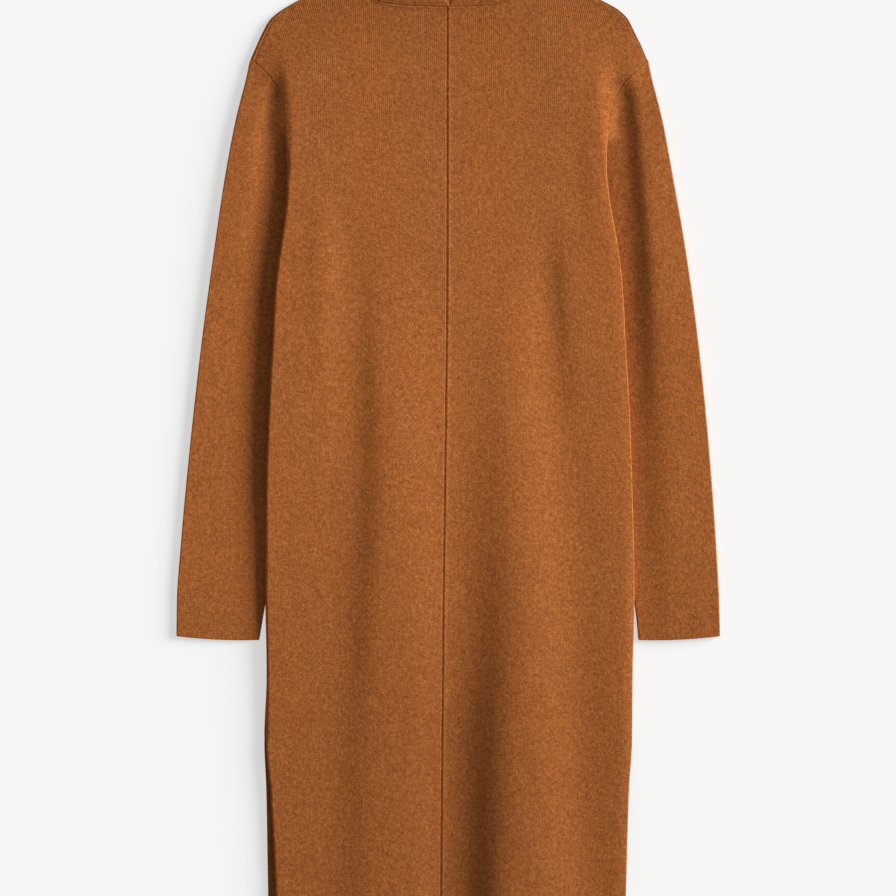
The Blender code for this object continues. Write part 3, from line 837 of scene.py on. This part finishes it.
def makeSleeve(side, material):
    # A flattened tube. Each section runs from its outer fold over the top face to
    # the inner fold and back under; the folds are half ellipses as high as the
    # top face there. Sections go from the head, which follows the armhole seam
    # and then passes under the body, to the open cuff.
    sign = sideSign[side]
    last = sleeveLine["station"][-1]
    head = seamSteps("armhole", sleeveCloth["nearHead"], sleeveCloth["stationLength"])
    body = np.linspace(head[-1], last, sleeveCloth["rows"] + 1)[1:-1]
    cuff = last * (1.0 - edgeSteps[::-1] / sleeveCloth["cuffLength"])
    body = body[body < cuff[0] - sleeveCloth["cuffMargin"]]
    station = join([head, body, cuff])[:, None]
    crowd = np.linspace(0.0, 1.0, sleeveCloth["topColumns"]) ** sleeveCloth["crowding"]
    crowd = np.insert(crowd, 1, sleeveCloth["corner"])
    under = np.linspace(1.0, 0.0, sleeveCloth["underColumns"])
    turn = np.linspace(0.0, math.pi, sleeveCloth["foldColumns"] + 2)[1:-1]
    one, swing = np.ones_like(turn), np.cos(turn)
    part = join([crowd, one, under, 0.0 * one])[None, :]
    reach = join([0.0 * crowd, np.sin(turn), 0.0 * under, -np.sin(turn)])[None, :]
    rise = join([np.ones_like(crowd), 0.5 + 0.5 * swing, 0.0 * under, 0.5 - 0.5 * swing])[None, :]

    outerDrop, outer, innerDrop, inner = (
        follow(sleeveLine, column, station, "station")
        for column in ("outerDrop", side, "innerDrop", side + "Inner")
    )
    atHead, further = sleeveLay["foldIn"]
    foldIn = atHead + (further - atHead) * ease(station)
    drop = outerDrop + (innerDrop - outerDrop) * part
    across = outer - foldIn + (inner - outer + 2.0 * foldIn) * part

    headDrop = drop[:1]
    seam = follow(sideLine, side, headDrop) + cut["seamGap"]
    below = np.minimum(seam, follow(sleeveHead, "across", headDrop))
    headLine = np.where(headDrop < sleeveHead["drop"][0], seam, below)
    headLine = np.minimum(headLine, across[:1, :1])
    bow = (headLine - across[:1]) * (part > 0.0)
    across = across + bow * (1.0 - ease(station / sleeveCloth["headReach"]))
    bowed = sleeveCloth["cuffBow"] * ramp(station, *sleeveCloth["bowed"])
    drop = drop + bowed * 4.0 * part * (1.0 - part)

    own = sleeveTop(side, across, drop)
    flush = 1.0 - ramp(drop, *sleeveLay["flush"])
    top = own + (backTop(sign * across, drop) - own) * flush
    ridge, at, wide = backCloth["edgeRidge"]
    further, wider = sleeveCloth["ridgeSize"]
    seen = 1.0 - ramp(headDrop, *backCloth["armholeSeam"][1])
    fromHead = np.hypot(across - across[:1], drop - drop[:1])
    top = top + ridge * bell(fromHead - at * further, wide * wider) * seen
    points = toWorld(sign * (across - foldIn * reach), drop, top * rise)

    closed = join([points, points[:, :1]], axis=1)
    uv = np.stack([runAlong(closed, 1), runAlong(closed, 0)], axis=-1)
    lift = join([-sign * reach, 0.0 * reach, 2.0 * rise - 1.0]).T
    cloth = turnedIn(plainCloth(points, uv, sleeveCloth["ribs"]), "armhole", lift)
    return clothMesh("sleeve" + side.capitalize(), cloth, -sign, True, material)


frontCloth = {
    "columns": 44,
    "rollSteps": 7,
    "curlSteps": 12,
    "upperRows": 44,
    "rows": 150,
    "shoulderCurl": {"left": 4.2, "right": 1.0},  # how far it shows beyond the shoulder seam
    "tipCurl": {"left": 0.9, "right": 0.0},  # and how much further at the tip
    "curled": (70.0, 16.0),  # drop at which the tip begins, and over how far
    # how far the front's edge stays inside the back's beside the armhole
    "armholeInset": table("drop inset", [
        (86, 0.6), (112, 1.2), (165, 1.6), (180, 2.4), (225, 2.0), (290, 0),
    ]),
    "rollIn": 5.0,
    "joined": ((168.0, 16.0), (796.0, 14.0)),  # drops at which its side meets and leaves the back
    "below": 0.06,  # how far under the back's tuck it ends there
    "cleared": (92.0, 8.0),  # drop from which it lies clear of its bed
    "nearTop": [0.0, 0.004, 0.01],  # shares of the way down to the level rows
    "curlStart": [0.0, 0.1, 0.3, 0.6],  # shares of the curl's level run
    "ribs": 0.6,
}


def makeFront(side, material):
    # The outer face is the lower one. It starts at the shoulder seam on top, goes
    # out and round (a level run, a half circle, a level run back), then lies flat
    # to the hem; at the side it rolls up to meet the back's edge.
    sign = sideSign[side]
    column = np.linspace(0.0, 1.0, frontCloth["columns"])[None, :]
    turn = quarterTurn(frontCloth["rollSteps"] + 1)[None, 1:]
    rollIn = frontCloth["rollIn"]
    firstFlat = cut["shoulder"][side] - rollIn
    startAcross = cut["highPoint"] + (firstFlat - cut["highPoint"]) * column
    startAcross = join([startAcross, firstFlat + rollIn * np.sin(turn)], axis=1)
    startDrop = topEdge(side, startAcross)
    upper = np.linspace(0.02, 1.0, frontCloth["upperRows"])
    upper = join([frontCloth["nearTop"], upper])[:, None]
    levels = np.linspace(cut["underarm"], cut["length"] - cut["lastRow"], frontCloth["rows"])[1:]
    levels = join([levels, hemRows])[:, None]
    drop = join([startDrop + (cut["underarm"] - startDrop) * upper, levels + 0.0 * startDrop])

    edgeDrop = drop[:, -1:]
    half = follow(frontLine, side, edgeDrop)
    half = half - follow(frontCloth["armholeInset"], "inset", edgeDrop)
    inner = follow(frontEdge, "across", drop[:, :1])
    joined = between(edgeDrop, *frontCloth["joined"])
    flat = inner + (half - rollIn - inner) * column
    out = join([flat, half - rollIn * (1.0 - np.sin(turn))], axis=1)
    bed = frontBed(side, out, drop) + frontLay["clearance"] * ramp(drop, *frontCloth["cleared"])
    roll = backLay["roll"]
    backEdge = backTop(sign * half, edgeDrop) - follow(roll, side + "Down", edgeDrop)
    backEdge = backEdge - follow(roll, side + "Fall", edgeDrop)
    backEdge = backEdge - cut["tuck"] * follow(roll, "tuck", edgeDrop) - frontCloth["below"]
    lift = np.maximum(backEdge - bed[:, -1:], 0.0) * joined
    up = join([np.zeros_like(column), 1.0 - np.cos(turn)], axis=1)
    height = bed + lift * up

    # the curl over the shoulder, squared off where it meets the sleeve
    start = np.stack([out[0], drop[0]], axis=-1)
    tangent = unit(np.gradient(start, axis=0))
    outward = np.stack([tangent[:, 1], -tangent[:, 0]], axis=-1)
    atTip = ramp(drop[0], *frontCloth["curled"])[:, None]
    outward = unit(outward * (1.0 - atTip) + np.array([1.0, 0.0]) * atTip)
    curl = frontCloth["shoulderCurl"][side] + frontCloth["tipCurl"][side] * atTip[:, 0]
    radius = seamHeight(startAcross[0]) / 2
    level = np.maximum(curl - radius, 0.0)
    angle = np.linspace(0.0, math.pi, frontCloth["curlSteps"])[:, None]
    leadIn = np.array(frontCloth["curlStart"])[:, None]
    offset = join([leadIn * level, level + (curl - level) * np.sin(angle), [level * 0.5]])
    curlHeight = join([2.0 * radius + 0.0 * leadIn, radius + radius * np.cos(angle), [0.0 * level]])
    curlPlace = start[None] + outward[None] * offset[..., None]
    across = join([curlPlace[..., 0], out])
    drop = join([curlPlace[..., 1], drop])
    height = join([curlHeight, height])
    points = toWorld(sign * across, drop, height)
    uv = np.stack([sign * across * mm, runAlong(points, 0)], axis=-1)
    cloth = plainCloth(points, uv, frontCloth["ribs"])
    return clothMesh("front" + side.capitalize(), cloth, -sign, False, material)


collarCloth = {
    "rows": 30,
    "columns": 200,
    "crowding": 1.25,  # of the columns towards the centre
    "lowerEnd": [-0.01, -0.003, 0.0],  # last columns, in stations from the end
    "edgeFrom": 0.985,  # no even rows beyond this share of the width
    "neck": (2.6, 1.2),  # station at which it leaves the neck seam, and over how many
    "standing": 0.9,  # share of the width over which it comes down from the seam
    "wave": {"height": 1.4, "pitch": 2.3, "start": 0.6, "end": (3.0, 1.5), "part": (0.35, 0.65)},
    "ribs": 0.4,
    # both centre seams lie this far to the right, which fades out over so many stations
    "centre": (0.9, 0.9),
    "turn": 0.15,  # how much of the seam's turning in stays below the neck
}


def makeCollar(side, material):
    # Straight across from its seam to its free edge, station by station round the
    # neck and down the front. It stands off the surface at the neck seam, and its
    # free edge ripples a little above the neck.
    sign = sideSign[side]
    last = collarLine["station"][-1]
    station = np.linspace(0.0, 1.0, collarCloth["columns"]) ** collarCloth["crowding"] * last
    middle = seamSteps("centre", backCloth["nearSeam"]) / collarLine["seamAcross"][1]
    lowerEnd = last + np.array(collarCloth["lowerEnd"])
    station = join([middle, station[station > middle[-1]][:-1], lowerEnd])[:, None]
    width = collarLine["seamDrop"][0] - collarLine["edgeDrop"][0]
    steps = seamSteps("plain", backCloth["nearSeam"]) / width
    part = np.linspace(steps[-1], 1.0, collarCloth["rows"])[1:-1]
    part = part[part < collarCloth["edgeFrom"]]
    part = join([steps, part, 1.0 - edgeSteps[::-1] / width])[None, :]
    seamAcross, seamDrop, edgeAcross, edgeDrop = (
        follow(collarLine, column, station, "station")
        for column in ("seamAcross", "seamDrop", "edgeAcross", "edgeDrop")
    )
    atNeck = 1.0 - ramp(station, *collarCloth["neck"])
    neckDrop = topEdge(side, np.minimum(seamAcross, cut["highPoint"])) - cut["seamGap"]
    seamDrop = seamDrop + (np.minimum(neckDrop, seamDrop) - seamDrop) * atNeck
    across = seamAcross + (edgeAcross - seamAcross) * part
    drop = seamDrop + (edgeDrop - seamDrop) * part
    standing = 1.0 - ease(part / collarCloth["standing"])
    neck = (seamHeight(seamAcross) - cut["wall"]) * atNeck * standing
    wave = collarCloth["wave"]
    ripple = wave["height"] * np.sin(station * wave["pitch"] + wave["start"]) ** 2
    ripple = ripple * (1.0 - ramp(station, *wave["end"])) * ramp(part, *wave["part"])
    height = cut["wall"] + neck + ripple
    for ridge, at, wide in backCloth["seamRidge"][side]:
        height = height + 0.5 * ridge * bell(across - at, wide) * atNeck
    offCentre, length = collarCloth["centre"]
    across = across + sign * offCentre * (1.0 - ease(station / length))
    points = toWorld(sign * across, drop, height)
    u = runAlong(points, 1)
    v = runAlong(points, 0).mean(axis=1, keepdims=True) + 0.0 * u
    cloth = plainCloth(points, np.stack([u, v], axis=-1), collarCloth["ribs"])
    turn = collarCloth["turn"]
    cloth = turnedIn(cloth, byColumns=True, share=turn + (1.0 - turn) * atNeck[:, 0])
    return clothMesh("collar" + side.capitalize(), turnedIn(cloth, "centre"), -sign, False, material)


stageLook = {
    "height": 3.0,
    "across": 0.950,  # width of floor in view
    "look": (-0.0003, 0.0599),  # point below the camera
    "floorSize": 8.0,
    "floor": {
        "Base Color": (0.33, 0.33, 0.33, 1.0),
        "Roughness": 1.0,
        "Specular IOR Level": 0.0,
        "Emission Color": (1.0, 1.0, 1.0, 1.0),
        "Emission Strength": 0.562,
    },
    "sunHeight": 17.0,  # degrees above the floor
    "sunTurn": 20.0,  # degrees from +X towards +Y
    "sunAngle": 30.0,
    "sun": 8.6,
    "sky": {"Color": (1.0, 1.0, 1.0, 1.0), "Strength": 0.29},
}


def makeStage():
    # Floor, low sun, even sky, and a camera that looks straight down
    bpy.ops.mesh.primitive_plane_add(size=stageLook["floorSize"], location=(0.0, 0.0, 0.0))
    floor = bpy.context.active_object
    floor.name = "floor"
    material = bpy.data.materials.new("paleFloor")
    material.use_nodes = True
    shader = material.node_tree.nodes["Principled BSDF"]
    setSockets(shader, stageLook["floor"])
    floor.data.materials.append(material)

    light = bpy.data.lights.new("windowLight", "SUN")
    light.energy = stageLook["sun"]
    light.angle = math.radians(stageLook["sunAngle"])
    sun = newObject("windowLight", light)
    up, turn = math.radians(stageLook["sunHeight"]), math.radians(stageLook["sunTurn"])
    source = Vector((math.cos(up) * math.cos(turn), math.cos(up) * math.sin(turn), math.sin(up)))
    sun.rotation_euler = source.to_track_quat("Z", "Y").to_euler()

    world = bpy.data.worlds.new("softRoom")
    world.use_nodes = True
    setSockets(world.node_tree.nodes["Background"], stageLook["sky"])
    bpy.context.scene.world = world
    bpy.context.scene.view_settings.view_transform = "Standard"

    lens = bpy.data.cameras.new("overhead")
    lens.sensor_width = 36.0
    lens.lens = lens.sensor_width * stageLook["height"] / stageLook["across"]
    camera = newObject("overhead", lens)
    camera.location = (*stageLook["look"], stageLook["height"])
    bpy.context.scene.camera = camera


makeStage()
print("stage ready")

knit = knitMaterial("knit")

for side in ("left", "right"):
    made = {
        "back": makeBack(side, knit),
        "front": makeFront(side, knit),
        "sleeve": makeSleeve(side, knit),
        "collar": makeCollar(side, knit),
    }
    for kind, piece in made.items():
        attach(piece, "root")
        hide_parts(kind + "_" + side)
    print(side, "side made")
